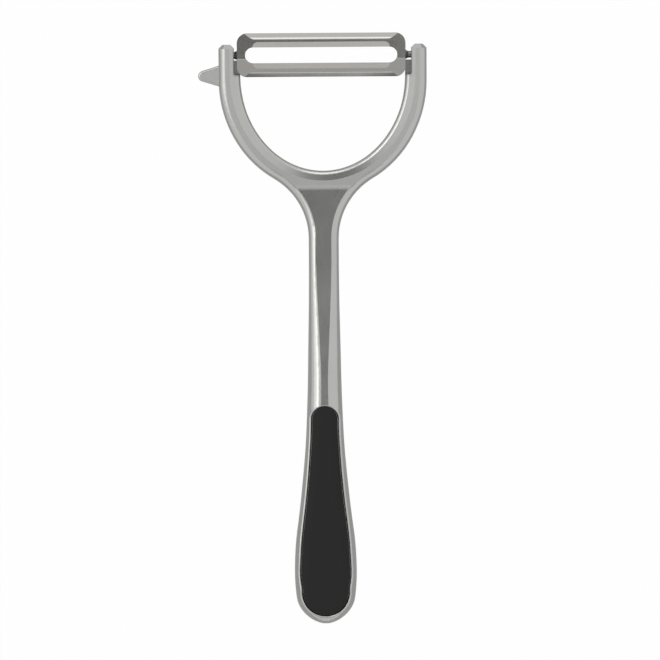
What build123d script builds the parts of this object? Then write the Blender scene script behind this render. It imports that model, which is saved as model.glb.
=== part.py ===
"""Y-shaped vegetable peeler with a free-swinging blade, lying on its back.

The peeler lies on its straight back: +Z is the front, +Y points to the head and X = 0 is its middle plane.
The origin is the middle of the flat rear pad, where it touches the table. Lengths are in millimetres.
"""

import os

from build123d import *

os.makedirs("parts", exist_ok=True)

# Stations along the handle, from the middle of the rear pad toward the head.
shank_start_y = 73.5
shank_lead = 15.0
shank_taper_y = 66.0
shank_turn_y = 58.0
neck_start_y = 49.0
neck_y = 38.5
grip_top_y = 28.0
grip_upper_y = 18.0
grip_middle_y = 8.5
grip_lower_y = -0.5
grip_full_y = -8.5
grip_swell_y = -15.0
grip_widest_y = -20.3
butt_start_y = -24.3
butt_turn_y = -27.7
butt_round_y = -30.4
butt_tip_y = -32.3
butt_cap_y = -33.1
butt_end_y = -33.6

# Half widths of the handle, seen from the front.
shank_half = 4.47
shank_taper_half = 4.52
shank_turn_half = 4.63
neck_start_half = 4.83
neck_half = 5.02
top_half = 5.37
upper_half = 5.9
middle_half = 6.78
lower_half = 7.75
full_half = 8.78
swell_half = 9.2
widest_half = 9.22
butt_start_half = 8.93
butt_turn_half = 8.27
butt_round_half = 6.6
butt_tip_half = 4.4
butt_cap_half = 2.9
butt_end_half = 1.3

# Height of the grip, how far the front drops toward the shank, and how far the end sections draw in.
grip_height = 9.6
upper_drop = 0.15
top_drop = 0.42
neck_drop = 0.75
neck_start_drop = 1.05
shank_turn_drop = 1.17
shank_taper_drop = 1.195
shank_drop = 1.2
butt_turn_draw = 0.2
butt_round_draw = 0.7
butt_tip_draw = 1.6
butt_cap_draw = 2.3
butt_end_draw = 3.0
land_cut = 0.1
shank_taper_round = 2.45
shank_turn_round = 2.9
neck_start_round = 3.5
grip_round_share = 0.45

# Blade. Its heights are measured from the line through its pins.
blade_length = 50.1
blade_height = 13.0
blade_thickness = 0.9
blade_corner = 3.0
blade_rise = 0.35
blade_crown = 0.35
blade_crown_half = 1.2
blade_fold_land = 0.9
blade_lip_tuck = 0.25
blade_lip_fall = 1.25
blade_bend = 0.9
lip_start = 2.25
lip_sweep = 4.7
slot_width = 4.65
slot_end_web = 2.45
bevel_runout = 2.2
bevel_width = 1.6
bevel_fall = 0.17
bevel_edge = 0.15
neck_diameter = 2.8
neck_taper = 0.8
pin_diameter = 2.0
pin_clearance = 0.07
pin_reach = 2.2
pin_run_in = 2.4
trough_above = 1.9
trough_below = 1.0
trough_depth = 0.15

# Yoke and ears. Every width follows from the blade between the ears, which lies slid toward the left ear.
blade_end_gap = 1.35
blade_slide = 0.4
ear_thickness = 4.5
ear_recess_width = 1.85
hole_end_play = 0.6
yoke_thickness = 6.5
yoke_inner_below_pivot = 6.0
yoke_inner_depth = 28.3
yoke_outer_below_inner = 1.7
crotch_depth = 6.1
crotch_fillet = 20.9
crotch_above_shank = 19.0
shank_length = 8.9
bend_below_crotch = 5.1
bend_radius = 12.0
head_rise = 4.9
arm_round = 2.2
inner_round = 1.3
shoulder_width = 3.0
shoulder_drop = 0.48
ear_top_above_pivot = 3.1
ear_top_bevel = 1.1
ear_floor_above_lip = 0.1
inner_floor_rise = 0.5
ear_floor_round = 0.9

# Stop webs in the feet of the ears.
web_top_below_pivot = 1.6
web_front_below_pivot = 1.15
web_thickness = 1.5
web_root = 0.6

# Eye remover on the left arm.
eye_below_pivot = 6.1
eye_reach = 6.1
eye_tip_radius = 1.6
eye_root_half = 3.5
eye_root_depth = 1.5
eye_root_width = 0.8
eye_thickness = 3.4
eye_edge_round = 0.6

# Grip inlays, in their pockets.
pocket_below_neck = 11.25
neck_rim = 1.17
upper_rim = 1.7
middle_rim = 1.83
lower_rim = 1.93
butt_rim = 2.07
pocket_depth = 3.0
pocket_edge_round = 0.45
inlay_clearance = 0.1
skin_thickness = 2.0
peg_diameter = 3.0
peg_clearance = 0.05
peg_gap = 0.35
peg_from_middle = 17.0

# One length longer than the whole yoke is wide, for every cut that runs right through.
overrun = 80.0

# Sizes that follow from the ones above.
ear_inner_half = blade_length / 2 + blade_end_gap
arm_half_span = ear_inner_half + ear_thickness
yoke_inner_radius = ear_inner_half - ear_recess_width
shank_end_y = shank_start_y + shank_length
crotch_y = shank_end_y + crotch_above_shank
bend_y = crotch_y - bend_below_crotch
yoke_inner_y = crotch_y + yoke_inner_depth
yoke_outer_y = yoke_inner_y - yoke_outer_below_inner
yoke_outer_depth = yoke_inner_depth + crotch_depth - yoke_outer_below_inner
pivot_y = yoke_inner_y + yoke_inner_below_pivot
head_run = pivot_y - bend_y
shank_front_z = grip_height - shank_drop
back_rise = shank_front_z + head_rise - yoke_thickness
pivot_z = back_rise + yoke_thickness / 2
ear_floor_y = pivot_y - blade_height / 2 + ear_floor_above_lip
inner_floor_y = ear_floor_y + inner_floor_rise
hole_end_x = ear_inner_half + pin_reach + hole_end_play
web_height = pivot_y - web_top_below_pivot - ear_floor_y + web_root
slot_length = blade_length - 2 * slot_end_web
bevel_length = slot_length - 2 * bevel_runout
fold_half = slot_width / 2 + bevel_width + blade_fold_land
lip_half = blade_height / 2 - blade_lip_tuck
lip_zone_half = fold_half - blade_fold_land / 2
lip_reach_half = blade_length / 2 - lip_start
crown_z = blade_rise + blade_crown
crown_front = crown_z + blade_thickness / 2
blade_slope = blade_crown / (fold_half - blade_crown_half)
bevel_top = blade_rise + blade_slope * blade_fold_land + blade_thickness / 2
bevel_foot = bevel_top + blade_slope * bevel_width - bevel_fall
corner_z = blade_rise - blade_slope * (blade_height / 2 - fold_half)
trough_z = crown_front - trough_depth
pin_length = blade_end_gap + pin_reach
eye_tip_x = arm_half_span + eye_reach
eye_root_x = arm_half_span - eye_root_depth
grip_middle_z = grip_height / 2
pocket_top_y = neck_y - pocket_below_neck
pocket_start_y = pocket_top_y + neck_half - neck_rim
pocket_end_y = butt_start_y - butt_start_half + butt_rim
peg_length = grip_middle_z - pocket_depth - peg_gap

# Plane of the leaning head through the pivot line, and the plane that the blade lies in.
head_plane = Plane((0, pivot_y, pivot_z), x_dir=(1, 0, 0), z_dir=(0, -head_rise, head_run))
blade_plane = Plane(head_plane.from_local_coords((-blade_slide, 0, 0)), x_dir=head_plane.x_dir,
                    z_dir=head_plane.z_dir)


def runs_along(edge):
    """True for an edge that follows the outline of the yoke, neither across it nor upright."""
    extent = edge.bounding_box().size
    return extent.Y > extent.Z and extent.Y > ear_top_bevel


def is_on_gap_wall(edge):
    """True for an edge that lies on the inner wall of the yoke."""
    middle = edge @ 0.5
    below = min(middle.Y - yoke_inner_y, 0) / yoke_inner_depth
    reach = Vector(middle.X / yoke_inner_radius, below).length
    return abs(reach - 1) * yoke_inner_radius < shoulder_drop


def is_pocket_mouth(edge):
    """True for an edge where the wall of a grip pocket meets the skin of the grip."""
    middle = edge @ 0.5
    level = edge.bounding_box().size.Z < edge.length / 2
    in_skin = abs(middle.Z - grip_middle_z) > grip_middle_z - skin_thickness
    in_outline = pocket_end_y - inlay_clearance < middle.Y < pocket_start_y + inlay_clearance
    return level and in_skin and in_outline and abs(middle.X) < widest_half - middle_rim


def section_at(station, half_width, back_z, front_z, corner):
    """Rounded-rectangle section across the handle at one station. Its back is cut flat afterwards."""
    with BuildSketch(Plane.XZ.offset(-station)) as outline:
        with Locations((0, (back_z + front_z) / 2)):
            RectangleRounded(2 * half_width, front_z - back_z, corner)
    return outline.sketch


def grip_section(station, half_width, drop=0, draw=0):
    """Section of the grip: its front drops toward the neck, and both sides draw in toward the butt."""
    back_z = draw - land_cut
    front_z = grip_height - draw - drop
    return section_at(station, half_width, back_z, front_z,
                      grip_round_share * min(2 * half_width, front_z - back_z))


# Handle without its pockets: one smooth skin through the sections, closed at the tip of the butt. It is
# drawn on through the shank, so that it runs out straight, and then cut off where the shank starts.
handle_sections = [
    section_at(shank_start_y + shank_lead, shank_half, -land_cut, grip_height - shank_drop, arm_round),
    section_at(shank_start_y + shank_lead / 2, shank_half, -land_cut, grip_height - shank_drop, arm_round),
    section_at(shank_start_y, shank_half, -land_cut, grip_height - shank_drop, arm_round),
    section_at(shank_taper_y, shank_taper_half, -land_cut, grip_height - shank_taper_drop, shank_taper_round),
    section_at(shank_turn_y, shank_turn_half, -land_cut, grip_height - shank_turn_drop, shank_turn_round),
    section_at(neck_start_y, neck_start_half, -land_cut, grip_height - neck_start_drop, neck_start_round),
    grip_section(neck_y, neck_half, drop=neck_drop),
    grip_section(grip_top_y, top_half, drop=top_drop),
    grip_section(grip_upper_y, upper_half, drop=upper_drop),
    grip_section(grip_middle_y, middle_half),
    grip_section(grip_lower_y, lower_half),
    grip_section(grip_full_y, full_half),
    grip_section(grip_swell_y, swell_half),
    grip_section(grip_widest_y, widest_half),
    grip_section(butt_start_y, butt_start_half),
    grip_section(butt_turn_y, butt_turn_half, draw=butt_turn_draw),
    grip_section(butt_round_y, butt_round_half, draw=butt_round_draw),
    grip_section(butt_tip_y, butt_tip_half, draw=butt_tip_draw),
    grip_section(butt_cap_y, butt_cap_half, draw=butt_cap_draw),
    grip_section(butt_end_y, butt_end_half, draw=butt_end_draw),
]

with BuildPart() as handle:
    loft(sections=handle_sections)
    split(bisect_by=Plane.XY, keep=Keep.TOP)
    split(bisect_by=Plane.XZ.offset(-shank_start_y), keep=Keep.TOP)

# Shank and yoke: their outline seen from the front, cut to their side profile, whose head leans forward.
with BuildPart() as yoke:
    with BuildSketch(Plane.XY.offset(-land_cut)) as yoke_outline:
        with Locations((0, yoke_outer_y)):
            Ellipse(arm_half_span, yoke_outer_depth)
            Rectangle(2 * arm_half_span, overrun, align=(Align.CENTER, Align.MIN))
        with Locations((0, shank_start_y)):
            Rectangle(2 * shank_half, yoke_outer_y - shank_start_y, align=(Align.CENTER, Align.MIN))
        fillet(yoke_outline.vertices().group_by(Axis.Y)[1], crotch_fillet)
    extrude(amount=overrun)
    with BuildSketch(Plane.YZ) as yoke_profile:
        with BuildLine():
            back = FilletPolyline((shank_start_y, -land_cut), (bend_y, -land_cut),
                                  (pivot_y + head_run, 2 * back_rise), radius=bend_radius)
            front = FilletPolyline((shank_start_y, shank_front_z), (bend_y, shank_front_z),
                                   (pivot_y + head_run, shank_front_z + 2 * head_rise), radius=bend_radius)
            Line(back @ 0, front @ 0)
            Line(back @ 1, front @ 1)
        make_face()
    extrude(amount=overrun, both=True, mode=Mode.INTERSECT)
    fillet(yoke.edges().filter_by(runs_along), arm_round)
    with BuildSketch() as yoke_gap:
        with Locations((0, yoke_inner_y)):
            Ellipse(yoke_inner_radius, yoke_inner_depth)
            Rectangle(2 * yoke_inner_radius, overrun, align=(Align.CENTER, Align.MIN))
    extrude(amount=overrun, mode=Mode.SUBTRACT)
    gap_edges = yoke.edges(Select.LAST).filter_by(runs_along)
    head_front = yoke.faces().filter_by(Axis((0, 0, 0), head_plane.z_dir)).sort_by(Axis.Z)[-1]
    chamfer([edge for edge in gap_edges if edge in head_front.edges()], shoulder_width, shoulder_drop,
            reference=head_front)
    fillet(yoke.edges().filter_by(runs_along).filter_by(is_on_gap_wall), inner_round)
    split(bisect_by=Plane(head_plane.from_local_coords((0, ear_top_above_pivot, 0)), z_dir=head_plane.y_dir),
          keep=Keep.BOTTOM)
    split(bisect_by=Plane.XY, keep=Keep.TOP)

# Eye remover: a small tongue with a rounded tip.
with BuildPart() as eye_remover:
    with BuildSketch(head_plane.offset(-eye_thickness / 2)) as eye_outline:
        with Locations((eye_tip_radius - eye_tip_x, -eye_below_pivot)):
            Circle(eye_tip_radius)
        with Locations((-eye_root_x, -eye_below_pivot)):
            Rectangle(eye_root_width, 2 * eye_root_half, align=(Align.MIN, Align.CENTER))
        make_hull()
    extrude(amount=eye_thickness)
    fillet(eye_remover.faces().filter_by(Axis((0, 0, 0), head_plane.z_dir)).edges(), eye_edge_round)


def inlay_outline(inset):
    """Outline of the grip pocket seen from the front, drawn in by the given clearance."""
    round_half = neck_half - neck_rim - inset
    bottom_half = butt_start_half - butt_rim - inset
    with BuildSketch() as outline:
        with BuildLine():
            side = Spline((round_half, pocket_top_y), (upper_half - upper_rim - inset, grip_upper_y),
                          (middle_half - middle_rim - inset, grip_middle_y),
                          (lower_half - middle_rim - inset, grip_lower_y),
                          (full_half - lower_rim - inset, grip_full_y),
                          (swell_half - lower_rim - inset, grip_swell_y),
                          (widest_half - lower_rim - inset, grip_widest_y), (bottom_half, butt_start_y),
                          tangents=((0, -1), (0, -1)))
            mirror(side, about=Plane.YZ)
            CenterArc((0, pocket_top_y), round_half, 0, 180)
            CenterArc((0, butt_start_y), bottom_half, 180, 180)
        make_face()
    return outline.sketch


pocket_outline = inlay_outline(0)
fitted_outline = inlay_outline(inlay_clearance)
peg_places = [(0, peg_from_middle), (0, -peg_from_middle)]

# Frame: the whole casting, with the inlay pockets, ear recesses, stop webs and pivot holes.
with BuildPart() as y_frame:
    add(handle.part)
    add(yoke.part)
    add(eye_remover.part)
    extrude(Plane.XY.offset(grip_height - pocket_depth) * pocket_outline, amount=grip_height,
            mode=Mode.SUBTRACT)
    extrude(Plane.XY.offset(pocket_depth - grip_height) * pocket_outline, amount=grip_height,
            mode=Mode.SUBTRACT)
    fillet(y_frame.edges().filter_by(is_pocket_mouth), pocket_edge_round)
    with Locations(*[(x, y, grip_middle_z) for x, y in peg_places]):
        Cylinder(peg_diameter / 2, grip_height, mode=Mode.SUBTRACT)
    with BuildSketch() as ear_recess_outline:
        with BuildLine():
            Polyline((yoke_inner_radius, inner_floor_y), (ear_inner_half, ear_floor_y),
                     (ear_inner_half, pivot_y + overrun), (-ear_inner_half, pivot_y + overrun),
                     (-ear_inner_half, ear_floor_y), (-yoke_inner_radius, inner_floor_y), close=True)
        make_face()
        fillet(ear_recess_outline.vertices().group_by(Axis.Y)[0], ear_floor_round)
    extrude(amount=overrun, mode=Mode.SUBTRACT)
    chamfer(y_frame.faces().group_by(Axis.Y)[-1].edges(), ear_top_bevel)
    for side in (-1, 1):
        with Locations(head_plane.location * Location((side * yoke_inner_radius, -web_top_below_pivot,
                                                       -web_front_below_pivot))):
            Box(web_root + ear_inner_half - yoke_inner_radius, web_height, web_thickness,
                align=(Align.MIN if side > 0 else Align.MAX, Align.MAX, Align.MAX))
        with Locations(Location((side * hole_end_x, pivot_y, pivot_z), (0, -90 * side, 0))):
            Cylinder(pin_diameter / 2 + pin_clearance, hole_end_x - yoke_inner_radius,
                     align=(Align.CENTER, Align.CENTER, Align.MIN), mode=Mode.SUBTRACT)

# Blade: one rolled strip with a folded lip along both sides, cut to its outline and slotted.
blade_end_plane = Plane(blade_plane.from_local_coords((-blade_length / 2, 0, 0)), x_dir=blade_plane.y_dir,
                        z_dir=blade_plane.x_dir)
outward = (Align.CENTER, Align.CENTER, Align.MIN)


def rolled_strip(lip):
    """Strip of blade steel over a crowned section that ends in the given lip points, already slotted."""
    crown = [(blade_crown_half, crown_z), *lip]
    with BuildPart() as strip:
        with BuildSketch(blade_end_plane):
            with BuildLine():
                FilletPolyline(*[(-y, z) for y, z in reversed(crown)], *crown, radius=blade_bend)
            trace(line_width=blade_thickness)
        extrude(amount=blade_length)
        with BuildSketch(blade_plane):
            RectangleRounded(blade_length, blade_height, blade_corner)
            SlotOverall(slot_length, slot_width, mode=Mode.SUBTRACT)
        extrude(amount=yoke_thickness, both=True, mode=Mode.INTERSECT)
    return strip.part


# The lips run out in a curve before the corners, which stay flat.
with BuildSketch(blade_plane) as lip_zones:
    with BuildLine():
        sweep_start = (lip_reach_half - lip_sweep, lip_zone_half)
        sweep_end = (lip_reach_half, blade_height / 2)
        run_out = TangentArc(sweep_start, sweep_end, tangent=(1, 0))
        mirror(run_out, about=Plane.YZ)
        Line((-sweep_start[0], sweep_start[1]), sweep_start)
        Polyline(sweep_end, (lip_reach_half, blade_height), (-lip_reach_half, blade_height),
                 (-sweep_end[0], sweep_end[1]))
    make_face()
    mirror(about=Plane.XZ)

with BuildPart() as lips:
    add(rolled_strip([(fold_half, blade_rise), (lip_half, blade_rise - blade_lip_fall)]))
    extrude(lip_zones.sketch, amount=yoke_thickness, both=True, mode=Mode.INTERSECT)

# The slot is ground from both sides to its two edges.
with BuildPart() as slot_grind:
    with BuildSketch(blade_end_plane.offset((blade_length - bevel_length) / 2)):
        with BuildLine():
            Polyline((slot_width / 2 + bevel_width, bevel_top), (slot_width / 2, bevel_foot),
                     (0, bevel_foot), (0, crown_front + bevel_width),
                     (slot_width / 2 + bevel_width, crown_front + bevel_width), close=True)
        make_face()
        with BuildLine():
            Polyline((slot_width / 2 + bevel_width, bevel_top - blade_thickness),
                     (slot_width / 2, bevel_foot - bevel_edge), (0, bevel_foot - bevel_edge),
                     (0, -bevel_width), (slot_width / 2 + bevel_width, -bevel_width), close=True)
        make_face()
        mirror(about=Plane.YZ)
    extrude(amount=bevel_length)
    with BuildSketch(blade_plane):
        RectangleRounded(bevel_length, slot_width + 2 * bevel_width, bevel_width)
    extrude(amount=yoke_thickness, both=True, mode=Mode.INTERSECT)

with BuildPart() as blade:
    add(rolled_strip([(blade_height / 2, corner_z)]))
    extrude(lip_zones.sketch, amount=yoke_thickness, both=True, mode=Mode.SUBTRACT)
    add(lips.part)
    add(slot_grind.part, mode=Mode.SUBTRACT)
    for side in (-1, 1):
        blade_end = blade_plane.location * Location((side * blade_length / 2, 0, 0), (0, 90 * side, 0))
        with Locations(blade_end * Location((0, 0, -pin_run_in))):
            Cylinder(neck_diameter / 2, pin_run_in, align=outward)
        with Locations(blade_end):
            Cone(neck_diameter / 2, pin_diameter / 2, neck_taper, align=outward)
            Cylinder(pin_diameter / 2, pin_length, align=outward)
    for start in (0, blade_length - slot_end_web):
        with BuildSketch(blade_end_plane.offset(start)):
            with BuildLine():
                Polyline((-trough_below, trough_z),
                         (trough_above, trough_z - blade_slope * (trough_below + trough_above)),
                         (trough_above, crown_front + trough_above),
                         (-trough_below, crown_front + trough_above), close=True)
            make_face()
        extrude(amount=slot_end_web, mode=Mode.SUBTRACT)

# Front inlay: a soft skin flush with the casting, on a rigid core whose pegs enter the web.
with BuildPart() as front_grip_pad:
    add(handle.part)
    extrude(Plane.XY.offset(grip_height - skin_thickness) * fitted_outline, amount=grip_height,
            mode=Mode.INTERSECT)

with BuildPart() as front_grip_core:
    extrude(Plane.XY.offset(grip_height - pocket_depth) * fitted_outline,
            amount=pocket_depth - skin_thickness)
    with Locations(*[(x, y, grip_height - pocket_depth) for x, y in peg_places]):
        Cylinder(peg_diameter / 2 - peg_clearance, peg_length, align=(Align.CENTER, Align.CENTER, Align.MAX))

# Rear inlay: the same two pieces turned to the back.
with BuildPart() as rear_grip_pad:
    add(handle.part)
    extrude(Plane.XY.offset(skin_thickness - grip_height) * fitted_outline, amount=grip_height,
            mode=Mode.INTERSECT)

with BuildPart() as rear_grip_core:
    extrude(Plane.XY.offset(skin_thickness) * fitted_outline, amount=pocket_depth - skin_thickness)
    with Locations(*[(x, y, pocket_depth) for x, y in peg_places]):
        Cylinder(peg_diameter / 2 - peg_clearance, peg_length, align=outward)

pieces = {
    "y_frame": y_frame,
    "blade": blade,
    "front_grip_pad": front_grip_pad,
    "front_grip_core": front_grip_core,
    "rear_grip_pad": rear_grip_pad,
    "rear_grip_core": rear_grip_core,
}
for name, piece in pieces.items():
    piece.part.label = name
    export_step(piece.part, f"parts/{name}.step")
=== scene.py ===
"""Looks of a Y-shaped vegetable peeler: satin cast metal, a ground steel blade and black soft inlays."""

import math

import bpy
from mathutils import Matrix, Vector

bl_info = {
    "name": "Vegetable peeler looks",
    "version": (1, 0, 0),
    "blender": (4, 5, 0),
    "location": "3D View > Sidebar > Peeler",
    "description": "Finishes a Y-shaped vegetable peeler and sets it on a plain stage",
    "category": "Object",
}

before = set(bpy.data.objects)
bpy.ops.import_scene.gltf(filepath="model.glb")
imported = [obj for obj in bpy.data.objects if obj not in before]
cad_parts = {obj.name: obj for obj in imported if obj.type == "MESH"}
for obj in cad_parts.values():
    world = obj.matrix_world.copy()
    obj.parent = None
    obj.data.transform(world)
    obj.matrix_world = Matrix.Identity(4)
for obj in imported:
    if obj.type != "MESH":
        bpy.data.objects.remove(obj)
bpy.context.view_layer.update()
MILLIMETRE = 0.001

# Painted shade in the recesses of the ears beside the blade, where shade falls, as distances from the middle
# plane and along the handle.
PAINTED_SHADE_INNER = 24.5 * MILLIMETRE
PAINTED_SHADE_OUTER = 26.5 * MILLIMETRE
PAINTED_SHADE_BLUR = 0.3 * MILLIMETRE
PAINTED_SHADE_FLOOR = 129.5 * MILLIMETRE
PAINTED_SHADE_FLOOR_BLUR = 0.7 * MILLIMETRE

# Ends of the blade, where its darker pins start: partly their unground steel, partly painted shade where
# they sit in the ears. The blade lies slid toward the left ear.
BLADE_HALF = 25.05 * MILLIMETRE
BLADE_SLIDE = 0.4 * MILLIMETRE
PIN_BLUR = 0.15 * MILLIMETRE

# Lamps and cards overhead: the low and the high corner of each, in metres seen from above.
OVERHEAD = 1.2
LEFT_LAMP = ((-1.0, 0.02), (-0.48, 1.0))
OUTER_LAMP = ((-2.4, 0.02), (-1.0, 1.0))
NEAR_LAMP = ((-1.8, -0.3), (-0.48, 0.02))
FAR_LAMP = ((-0.48, 0.85), (0.35, 2.4))
CAMERA_HOOD = ((-0.19, 0.015), (0.1, 0.36))
FRONT_CARD = ((-0.35, -3.0), (0.35, -0.13))
FLOOR_WIDTH = 6.0

# Camera body.
SENSOR_WIDTH = 36.0
FARTHEST_SEEN = 20.0


# Material building.


class Signal:
    """A number that runs through a material. Arithmetic on it adds the Math nodes."""

    def __init__(self, board, socket):
        self.board = board
        self.socket = socket

    def combine(self, operation, *others):
        return self.board.maths(operation, self, *others)

    def __add__(self, other):
        return self.combine("ADD", other)

    __radd__ = __add__

    def __mul__(self, other):
        return self.combine("MULTIPLY", other)

    __rmul__ = __mul__

    def __sub__(self, other):
        return self.combine("SUBTRACT", other)

    def __rsub__(self, other):
        return self.board.maths("SUBTRACT", other, self)

    def __abs__(self):
        return self.combine("ABSOLUTE")


class Board:
    """The node tree of one material, or of the surroundings."""

    def __init__(self, owner, output_kind="ShaderNodeOutputMaterial"):
        owner.use_nodes = True
        self.owner = owner
        self.tree = owner.node_tree
        self.tree.nodes.clear()
        self.output = self.tree.nodes.new(output_kind)

    def feed(self, socket, value):
        """Links a socket to a signal or another socket, or sets its own value."""
        if isinstance(value, Signal):
            self.tree.links.new(value.socket, socket)
        elif isinstance(value, bpy.types.NodeSocket):
            self.tree.links.new(value, socket)
        else:
            socket.default_value = value

    def node(self, kind, settings=None, sockets=None):
        """Adds a node. Its settings come first, because they can change which sockets it has."""
        made = self.tree.nodes.new(kind)
        for name, value in (settings or {}).items():
            setattr(made, name, value)
        for name, value in (sockets or {}).items():
            self.feed(made.inputs[name], value)
        return made

    def maths(self, operation, *values):
        sockets = dict(enumerate(values))
        return Signal(self, self.node("ShaderNodeMath", {"operation": operation}, sockets).outputs[0])

    def step(self, value, edge, blur):
        """A smooth step from 0 to 1 over a blurred edge."""
        made = self.node("ShaderNodeMapRange", {"interpolation_type": "SMOOTHSTEP"},
                         {"Value": value, "From Min": edge - blur, "From Max": edge + blur})
        return Signal(self, made.outputs["Result"])

    def mix(self, factor, first, second):
        """A colour between two colours."""
        made = self.node("ShaderNodeMix", {"data_type": "RGBA"}, {0: factor, 6: first, 7: second})
        return made.outputs[2]

    def place(self, scale=(1.0, 1.0, 1.0)):
        """Object coordinates, stretched."""
        here = self.node("ShaderNodeTexCoord").outputs["Object"]
        return self.node("ShaderNodeMapping", None, {"Vector": here, "Scale": scale}).outputs[0]

    def axes(self):
        """The three object coordinates, as signals."""
        parts = self.node("ShaderNodeSeparateXYZ", None, {"Vector": self.place()})
        return [Signal(self, socket) for socket in parts.outputs]

    def noise(self, where, size, detail=2.0):
        """Noise whose grains are about the given size in metres."""
        made = self.node("ShaderNodeTexNoise", None,
                         {"Vector": where, "Scale": 1.0 / size, "Detail": detail})
        return Signal(self, made.outputs["Fac"])

    def bump(self, height, strength, distance):
        """A surface roughened by the given height."""
        sockets = {"Height": height, "Strength": strength, "Distance": distance}
        return self.node("ShaderNodeBump", None, sockets).outputs[0]

    def finish(self, kind, sockets):
        """Ends the tree in one shader."""
        shader = self.node(kind, None, sockets)
        self.tree.links.new(shader.outputs[0], self.output.inputs["Surface"])
        return self.owner


def grey(level):
    """A neutral opaque colour."""
    return (level, level, level, 1.0)


def shade(colour, share=1.0):
    """An opaque colour, darkened to the given share."""
    return (*[part * share for part in colour], 1.0)


def varied(middle, *plays):
    """A value that wanders about a middle with each given signal, by the given play."""
    for signal, play in plays:
        middle = middle + (signal - 0.5) * play
    return middle


def dress(node_name, material):
    """Gives a CAD node its material."""
    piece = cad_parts[node_name]
    piece.data.materials.clear()
    piece.data.materials.append(material)
    return piece


def satin_casting(sizes):
    """Bead-blasted cast metal: an even satin with a very fine grain, with painted shade darkening the
    recesses of the ears.
    """
    board = Board(bpy.data.materials.new("satin_casting"))
    grain = board.noise(board.place(), sizes.grain_size)
    cloud = board.noise(board.place(), sizes.cloud_size)
    colour = board.mix(cloud, shade(sizes.casting_colour, sizes.cloud_share), shade(sizes.casting_colour))
    across, along, _ = board.axes()
    # Painted shade: the colour is darkened in the recesses of the ears beside the blade, where shade falls.
    recess_painted_shade = (board.step(abs(across), PAINTED_SHADE_INNER, PAINTED_SHADE_BLUR)
              * (1.0 - board.step(abs(across), PAINTED_SHADE_OUTER, PAINTED_SHADE_BLUR))
              * board.step(along, PAINTED_SHADE_FLOOR, PAINTED_SHADE_FLOOR_BLUR))
    return board.finish("ShaderNodeBsdfPrincipled", {
        "Base Color": board.mix(recess_painted_shade, colour, shade(sizes.casting_colour, sizes.recess_painted_shade_share)),
        "Metallic": 1.0,
        "Roughness": varied(sizes.casting_roughness, (grain, sizes.grain_play), (cloud, sizes.cloud_play)),
        "Normal": board.bump(grain, sizes.grain_strength, sizes.grain_depth),
    })


def ground_steel(sizes):
    """Stainless strip with fine grinding lines along its length, and darker pins at its ends, partly
    unground steel and partly painted shade.
    """
    board = Board(bpy.data.materials.new("ground_steel"))
    lines = board.noise(board.place(scale=(sizes.line_stretch_share, 1.0, 1.0)), sizes.line_size, detail=3.0)
    cloud = board.noise(board.place(), sizes.cloud_size)
    colour = board.mix(lines, shade(sizes.blade_colour, sizes.line_share), shade(sizes.blade_colour))
    # Darker pins at the blade's ends: partly their unground steel, partly painted shade where they sit in
    # the ears.
    unground_and_shaded_pins = board.step(abs(board.axes()[0] + BLADE_SLIDE), BLADE_HALF, PIN_BLUR)
    return board.finish("ShaderNodeBsdfPrincipled", {
        "Base Color": board.mix(unground_and_shaded_pins, colour, shade(sizes.blade_colour, sizes.pin_unground_and_shade_share)),
        "Metallic": 1.0,
        "Roughness": varied(sizes.blade_roughness, (lines, sizes.line_play), (cloud, sizes.cloud_play)),
        "Normal": board.bump(lines, sizes.line_strength, sizes.line_depth),
    })


def soft_rubber(sizes):
    """Matt black rubber with a fine moulded grain."""
    board = Board(bpy.data.materials.new("soft_rubber"))
    grain = board.noise(board.place(), sizes.rubber_grain_size)
    cloud = board.noise(board.place(), sizes.rubber_cloud_size, detail=3.0)
    return board.finish("ShaderNodeBsdfPrincipled", {
        "Base Color": board.mix(cloud, shade(sizes.rubber_colour, sizes.rubber_cloud_share),
                                shade(sizes.rubber_colour)),
        "Roughness": varied(sizes.rubber_roughness, (grain, sizes.rubber_grain_play)),
        "Normal": board.bump(grain, sizes.rubber_grain_strength, sizes.rubber_grain_depth),
        "Specular IOR Level": sizes.rubber_gloss,
    })


def hard_plastic(sizes):
    """Dark moulded plastic of the hidden cores."""
    board = Board(bpy.data.materials.new("hard_plastic"))
    grain = board.noise(board.place(), sizes.core_grain_size)
    return board.finish("ShaderNodeBsdfPrincipled", {
        "Base Color": board.mix(grain, shade(sizes.core_colour, sizes.core_grain_share),
                                shade(sizes.core_colour)),
        "Roughness": varied(sizes.core_roughness, (grain, sizes.core_grain_play)),
        "Normal": board.bump(grain, sizes.core_grain_strength, sizes.core_grain_depth),
    })


# Settings.


def colour_setting(name, description, default):
    return bpy.props.FloatVectorProperty(name=name, description=description, subtype="COLOR", size=3,
                                         default=default, min=0.0, max=1.0)


def share_setting(name, description, default):
    return bpy.props.FloatProperty(name=name, description=description, subtype="FACTOR", default=default,
                                   min=0.0, max=1.0)


def length_setting(name, description, default):
    return bpy.props.FloatProperty(name=name, description=description, subtype="DISTANCE", unit="LENGTH",
                                   default=default)


def level_setting(name, description, default):
    return bpy.props.FloatProperty(name=name, description=description, default=default, min=0.0)


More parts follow.
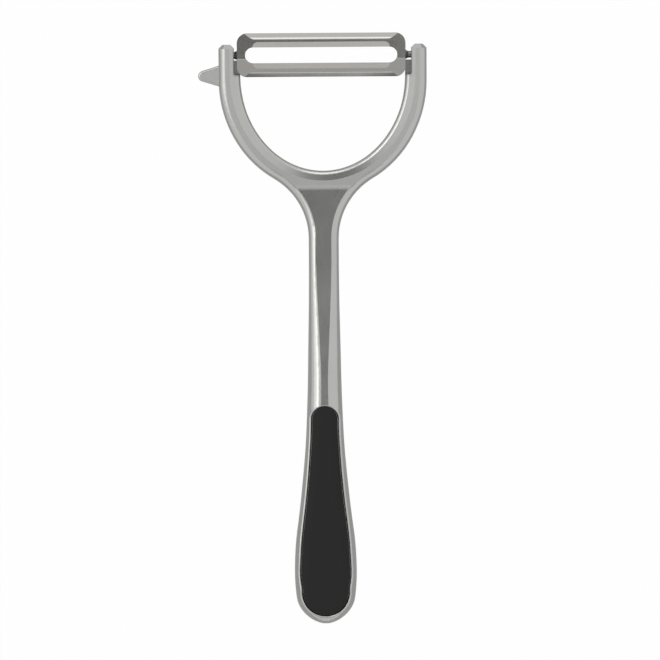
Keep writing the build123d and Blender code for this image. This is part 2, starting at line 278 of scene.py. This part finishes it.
class CastingSettings(bpy.types.PropertyGroup):
    casting_colour: colour_setting("Metal colour", "Colour of the cast metal", (0.46, 0.463, 0.446))
    casting_roughness: share_setting("Roughness", "How matt the satin metal is", 0.18)
    cloud_share: share_setting("Cloud shade", "Share of the colour left in the faint clouds", 0.96)
    cloud_size: length_setting("Cloud size", "Size of the faint clouds", 0.01)
    # Share of the colour left where shade is painted in the ears' recesses beside the blade.
    recess_painted_shade_share: share_setting("Recess shade", "Share of the colour left beside the blade", 0.4)
    grain_size: length_setting("Grain size", "Size of the blasted grain", 0.00025)
    grain_depth: length_setting("Grain depth", "Depth of the blasted grain", 0.000025)
    grain_strength: share_setting("Grain strength", "How much of the grain's depth shows", 0.12)
    grain_play: share_setting("Grain play", "How far the roughness wanders with the grain", 0.08)
    cloud_play: share_setting("Cloud play", "How far the roughness wanders with the clouds", 0.04)


class BladeSettings(bpy.types.PropertyGroup):
    blade_colour: colour_setting("Steel colour", "Colour of the blade", (0.47, 0.463, 0.443))
    blade_roughness: share_setting("Roughness", "How matt the blade is", 0.15)
    # Share of the colour left on the end pins: partly unground steel, partly painted shade.
    pin_unground_and_shade_share: share_setting("Pin shade", "Share of the colour left on the dull end pins", 0.35)
    line_share: share_setting("Line shade", "Share of the colour left in the grinding lines", 0.93)
    line_size: length_setting("Line width", "Width of the grinding lines", 0.00015)
    line_stretch_share: share_setting("Line stretch", "Width of a line as a share of its length", 0.04)
    line_depth: length_setting("Line depth", "Depth of the grinding lines", 0.000015)
    line_strength: share_setting("Line strength", "How much of the lines' depth shows", 0.15)
    line_play: share_setting("Line play", "How far the roughness wanders with the lines", 0.1)
    cloud_size: length_setting("Cloud size", "Size of the patches that are more or less matt", 0.009)
    cloud_play: share_setting("Cloud play", "How far the roughness wanders with the patches", 0.05)


class GripSettings(bpy.types.PropertyGroup):
    rubber_colour: colour_setting("Rubber colour", "Colour of the soft inlays", (0.0108, 0.011, 0.0112))
    rubber_roughness: share_setting("Rubber roughness", "How matt the inlays are", 0.72)
    rubber_gloss: share_setting("Rubber gloss", "How strongly the inlays mirror the lamps", 0.3)
    rubber_grain_size: length_setting("Rubber grain size", "Size of the moulded grain", 0.0003)
    rubber_grain_depth: length_setting("Rubber grain depth", "Depth of the moulded grain", 0.000045)
    rubber_grain_strength: share_setting("Rubber grain strength", "How much of the depth shows", 0.25)
    rubber_grain_play: share_setting("Rubber grain play", "How far the roughness wanders", 0.12)
    rubber_cloud_size: length_setting("Rubber cloud size", "Size of the faint clouds", 0.018)
    rubber_cloud_share: share_setting("Rubber cloud shade", "Share of the colour left in the clouds", 0.9)
    core_colour: colour_setting("Core colour", "Colour of the hidden plastic cores", (0.02, 0.02, 0.02))
    core_roughness: share_setting("Core roughness", "How matt the cores are", 0.5)
    core_grain_size: length_setting("Core grain size", "Size of the cores' grain", 0.00045)
    core_grain_depth: length_setting("Core grain depth", "Depth of the cores' grain", 0.00003)
    core_grain_strength: share_setting("Core grain strength", "How much of the depth shows", 0.1)
    core_grain_play: share_setting("Core grain play", "How far the roughness wanders", 0.1)
    core_grain_share: share_setting("Core grain shade", "Share of the colour left in the grain", 0.9)


class StageSettings(bpy.types.PropertyGroup):
    view_centre: bpy.props.FloatVectorProperty(
        name="View centre", description="Point in the middle of the picture", subtype="TRANSLATION",
        unit="LENGTH", size=3, default=(0.0017, 0.0539, 0.009))
    view_width: length_setting("View width", "Width that the picture shows", 0.1964)
    view_distance: length_setting("View distance", "Height of the camera over the peeler", 0.9)
    view_roll: bpy.props.FloatProperty(
        name="View roll", description="Turn of the camera about its line of sight", subtype="ANGLE",
        unit="ROTATION", default=math.radians(-0.37))
    world_level: level_setting("Surroundings", "Light from the even surroundings", 0.6)
    lamp_level: level_setting("Soft lamp", "Brightness of the soft lamp at the left", 1.5)
    outer_level: level_setting("Outer lamp", "Brightness of the far and near parts of the left lamp", 0.6)
    far_level: level_setting("Far lamp", "Brightness of the soft lamp beyond the head", 1.0)
    hood_level: level_setting("Camera hood", "Shade of the grey hood around the camera", 0.22)
    front_level: level_setting("Front card", "Shade of the grey card at the handle's side", 0.65)
    floor_level: share_setting("Floor shade", "How pale the floor is under the lamps", 0.75)
    floor_white_share: share_setting("Floor white", "Share of plain white in the floor that is seen", 0.985)
    floor_gloss_share: share_setting("Floor gloss", "Share of white in the floor that metal shows", 0.12)


# Pieces.


class PEELER_OT_frame(bpy.types.Operator):
    """Finish the cast metal frame in satin metal"""

    bl_idname = "peeler.frame"
    bl_label = "Metal frame"

    def execute(self, context):
        dress("y_frame", satin_casting(context.scene.peeler_casting))
        return {"FINISHED"}


class PEELER_OT_blade(bpy.types.Operator):
    """Finish the swinging blade in ground steel"""

    bl_idname = "peeler.blade"
    bl_label = "Blade"

    def execute(self, context):
        dress("blade", ground_steel(context.scene.peeler_blade))
        return {"FINISHED"}


class PEELER_OT_grip(bpy.types.Operator):
    """Finish the soft inlays and the cores beneath them"""

    bl_idname = "peeler.grip"
    bl_label = "Grip inlays"

    def execute(self, context):
        sizes = context.scene.peeler_grip
        rubber = soft_rubber(sizes)
        plastic = hard_plastic(sizes)
        for side in ("front", "rear"):
            dress(f"{side}_grip_pad", rubber)
            dress(f"{side}_grip_core", plastic)
        return {"FINISHED"}


def overhead_rectangle(corners):
    """Middle, width and depth of a level rectangle overhead."""
    (left, near), (right, far) = corners
    return Vector(((left + right) / 2, (near + far) / 2, OVERHEAD)), right - left, far - near


def soft_lamp(name, corners, level):
    """A rectangular soft lamp facing down. Its level adds to that of the surroundings, where 1 is white."""
    middle, width, depth = overhead_rectangle(corners)
    data = bpy.data.lights.new(name, "AREA")
    data.shape = "RECTANGLE"
    data.size = width
    data.size_y = depth
    data.energy = level * math.pi * width * depth
    lamp = bpy.data.objects.new(name, data)
    lamp.location = middle
    bpy.context.scene.collection.objects.link(lamp)


def grey_card(name, corners, level):
    """A flat card above the peeler, of an even grey. Only the metal sees it."""
    middle, width, depth = overhead_rectangle(corners)
    bpy.ops.mesh.primitive_plane_add(size=1.0)
    card = bpy.context.active_object
    card.name = name
    card.data.transform(Matrix.Translation(middle) @ Matrix.Diagonal((width, depth, 1.0, 1.0)))
    card.visible_camera = False
    board = Board(bpy.data.materials.new(name))
    card.data.materials.append(board.finish("ShaderNodeEmission", {"Color": grey(level), "Strength": 1.0}))


class PEELER_OT_stage(bpy.types.Operator):
    """Set the floor, the soft lamps, the surroundings and the camera"""

    bl_idname = "peeler.stage"
    bl_label = "Stage"

    def execute(self, context):
        sizes = context.scene.peeler_stage
        self.make_floor(sizes)
        self.make_world(sizes)
        soft_lamp("left_lamp", LEFT_LAMP, sizes.lamp_level)
        soft_lamp("outer_lamp", OUTER_LAMP, sizes.outer_level)
        soft_lamp("near_lamp", NEAR_LAMP, sizes.outer_level)
        soft_lamp("far_lamp", FAR_LAMP, sizes.far_level)
        grey_card("camera_hood", CAMERA_HOOD, sizes.hood_level)
        grey_card("front_card", FRONT_CARD, sizes.front_level)
        self.make_camera(sizes)
        context.scene.view_settings.view_transform = "Standard"
        return {"FINISHED"}

    @staticmethod
    def make_floor(sizes):
        """A white floor that still takes the shadow."""
        bpy.ops.mesh.primitive_plane_add(size=FLOOR_WIDTH, location=(0.0, 0.0, 0.0))
        floor = bpy.context.active_object
        floor.name = "floor"
        board = Board(bpy.data.materials.new("floor_white"))
        path = board.node("ShaderNodeLightPath").outputs
        seen = (Signal(board, path["Is Camera Ray"]) * sizes.floor_white_share
                + Signal(board, path["Is Glossy Ray"]) * sizes.floor_gloss_share)
        plain_floor = board.node("ShaderNodeBsdfDiffuse", None, {"Color": grey(sizes.floor_level)})
        white = board.node("ShaderNodeEmission", None, {"Color": grey(1.0), "Strength": 1.0})
        floor.data.materials.append(board.finish(
            "ShaderNodeMixShader", {0: seen, 1: plain_floor.outputs[0], 2: white.outputs[0]}))

    @staticmethod
    def make_world(sizes):
        """Even grey surroundings that look white to the camera and in the metal."""
        board = Board(bpy.data.worlds.new("studio"), "ShaderNodeOutputWorld")
        path = board.node("ShaderNodeLightPath").outputs
        seen = Signal(board, path["Is Camera Ray"]) + Signal(board, path["Is Glossy Ray"])
        strength = sizes.world_level + seen * (1.0 - sizes.world_level)
        bpy.context.scene.world = board.finish(
            "ShaderNodeBackground", {"Color": grey(1.0), "Strength": strength})

    @staticmethod
    def make_camera(sizes):
        """A long lens straight above the peeler."""
        data = bpy.data.cameras.new("camera")
        data.sensor_width = SENSOR_WIDTH
        data.lens = SENSOR_WIDTH * sizes.view_distance / sizes.view_width
        data.clip_end = FARTHEST_SEEN
        camera = bpy.data.objects.new("camera", data)
        camera.location = Vector(sizes.view_centre) + Vector((0.0, 0.0, sizes.view_distance))
        camera.rotation_euler = (0.0, 0.0, sizes.view_roll)
        bpy.context.scene.collection.objects.link(camera)
        bpy.context.scene.camera = camera


class PEELER_PT_panel(bpy.types.Panel):
    """Buttons that finish the peeler piece by piece"""

    bl_idname = "PEELER_PT_panel"
    bl_label = "Vegetable peeler"
    bl_space_type = "VIEW_3D"
    bl_region_type = "UI"
    bl_category = "Peeler"

    def draw(self, context):
        for operator in OPERATORS:
            self.layout.operator(operator.bl_idname)
        for name in SETTINGS:
            box = self.layout.box()
            settings = getattr(context.scene, name)
            for key in settings.bl_rna.properties.keys():
                if key not in {"rna_type", "name"}:
                    box.prop(settings, key)


SETTINGS = {
    "peeler_casting": CastingSettings,
    "peeler_blade": BladeSettings,
    "peeler_grip": GripSettings,
    "peeler_stage": StageSettings,
}
OPERATORS = (PEELER_OT_frame, PEELER_OT_blade, PEELER_OT_grip, PEELER_OT_stage)


def register():
    for name, settings in SETTINGS.items():
        bpy.utils.register_class(settings)
        setattr(bpy.types.Scene, name, bpy.props.PointerProperty(type=settings))
    for operator in OPERATORS:
        bpy.utils.register_class(operator)
    bpy.utils.register_class(PEELER_PT_panel)


def unregister():
    bpy.utils.unregister_class(PEELER_PT_panel)
    for operator in reversed(OPERATORS):
        bpy.utils.unregister_class(operator)
    for name, settings in reversed(SETTINGS.items()):
        delattr(bpy.types.Scene, name)
        bpy.utils.unregister_class(settings)


def main():
    register()
    bpy.ops.peeler.frame()
    bpy.ops.peeler.blade()
    bpy.ops.peeler.grip()
    bpy.ops.peeler.stage()


if __name__ == "__main__":
    main()
